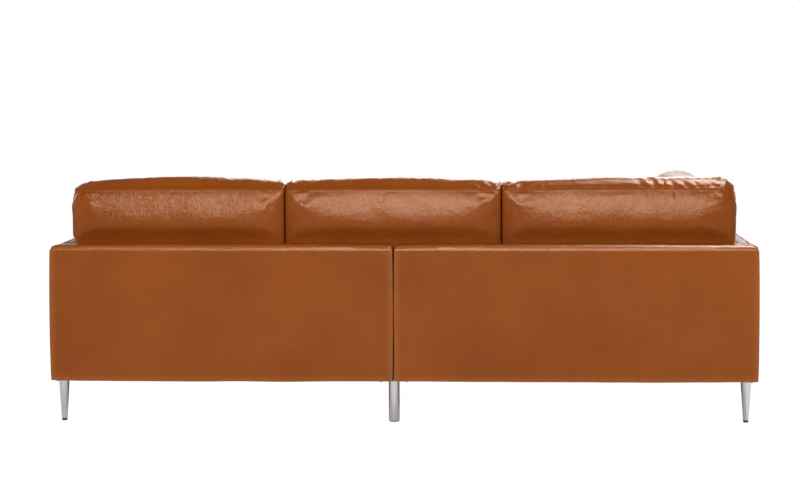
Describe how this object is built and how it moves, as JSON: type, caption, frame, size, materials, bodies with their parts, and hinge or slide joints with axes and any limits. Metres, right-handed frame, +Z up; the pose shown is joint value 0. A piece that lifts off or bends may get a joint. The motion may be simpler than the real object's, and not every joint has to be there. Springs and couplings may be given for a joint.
{
  "type": "corner sofa",
  "caption": "Leather corner sofa in two halves with a chaise, slim arms, loose seat and back cushions, and slim metal legs.",
  "frame": {"origin": "on the floor, under the middle of the sofa's box", "axes": "+Z up, +Y towards the rear face, -Y towards the front; the chaise is on the -X side"},
  "size_m": [2.53, 1.6, 0.8693],
  "materials": {
    "leather": "satin",
    "cushion_fill": "matte",
    "padding": "matte",
    "timber": "matte",
    "plywood": "matte",
    "webbing": "matte",
    "deck_cloth": "matte",
    "dust_cloth": "matte",
    "spring_steel": "satin",
    "leg_metal": "satin",
    "plate_steel": "satin",
    "black_plastic": "matte"
  },
  "bodies": {
    "frame": {"sofa_back_cover": "leather", "chaise_back_cover": "leather", "sofa_arm_cover": "leather", "chaise_arm_cover": "leather", "sofa_base_cover": "leather", "centre_base_cover": "leather", "chaise_base_cover": "leather", "sofa_back_padding": "padding", "chaise_back_padding": "padding", "sofa_arm_padding": "padding", "chaise_arm_padding": "padding", "back_posts": "timber", "sofa_back_rails": "timber", "chaise_back_rails": "timber", "sofa_long_rails": "timber", "centre_long_rails": "timber", "seat_end_rails": "timber", "chaise_side_rails": "timber", "chaise_cross_rails": "timber", "corner_blocks": "timber", "sofa_arm_frame": "plywood", "chaise_arm_frame": "plywood", "back_webbing": "webbing", "sofa_deck_cloth": "deck_cloth", "centre_deck_cloth": "deck_cloth", "chaise_deck_cloth": "deck_cloth", "sofa_dust_cover": "dust_cloth", "chaise_dust_cover": "dust_cloth", "seat_springs": "spring_steel", "chaise_springs": "spring_steel", "spring_clips": "spring_steel", "sofa_rear_leg": "leg_metal", "sofa_front_leg": "leg_metal", "chaise_rear_leg": "leg_metal", "chaise_outer_leg": "leg_metal", "chaise_inner_leg": "leg_metal", "rear_centre_leg": "leg_metal", "front_centre_leg": "leg_metal", "leg_plates": "plate_steel", "joining_plates": "plate_steel", "plate_screws": "plate_steel", "leg_studs": "plate_steel", "leg_caps": "black_plastic", "centre_leg_pads": "black_plastic"},
    "end_back_cushion_body": {"end_back_cushion_cover": "leather", "end_back_cushion_core": "cushion_fill"},
    "middle_back_cushion_body": {"middle_back_cushion_cover": "leather", "middle_back_cushion_core": "cushion_fill"},
    "corner_back_cushion_body": {"corner_back_cushion_cover": "leather", "corner_back_cushion_core": "cushion_fill"},
    "side_cushion_body": {"side_cushion_cover": "leather", "side_cushion_core": "cushion_fill"},
    "end_seat_cushion_body": {"end_seat_cushion_cover": "leather", "end_seat_cushion_core": "cushion_fill"},
    "middle_seat_cushion_body": {"middle_seat_cushion_cover": "leather", "middle_seat_cushion_core": "cushion_fill"},
    "chaise_cushion_body": {"chaise_cushion_cover": "leather", "chaise_cushion_core": "cushion_fill"}
  },
  "joints": [
    {"name": "end_back_cushion_lift", "type": "slide", "parent": "frame", "child": "end_back_cushion_body", "axis": [0, 0, 1], "range_m": [0, 0.3]},
    {"name": "middle_back_cushion_lift", "type": "slide", "parent": "frame", "child": "middle_back_cushion_body", "axis": [0, 0, 1], "range_m": [0, 0.3]},
    {"name": "corner_back_cushion_lift", "type": "slide", "parent": "frame", "child": "corner_back_cushion_body", "axis": [0, 0, 1], "range_m": [0, 0.3]},
    {"name": "side_cushion_lift", "type": "slide", "parent": "frame", "child": "side_cushion_body", "axis": [0, 0, 1], "range_m": [0, 0.3]},
    {"name": "end_seat_cushion_pull", "type": "slide", "parent": "frame", "child": "end_seat_cushion_body", "axis": [0, -1, 0], "range_m": [0, 0.3]},
    {"name": "middle_seat_cushion_pull", "type": "slide", "parent": "frame", "child": "middle_seat_cushion_body", "axis": [0, -1, 0], "range_m": [0, 0.3]},
    {"name": "chaise_cushion_pull", "type": "slide", "parent": "frame", "child": "chaise_cushion_body", "axis": [0, -1, 0], "range_m": [0, 0.3]}
  ]
}
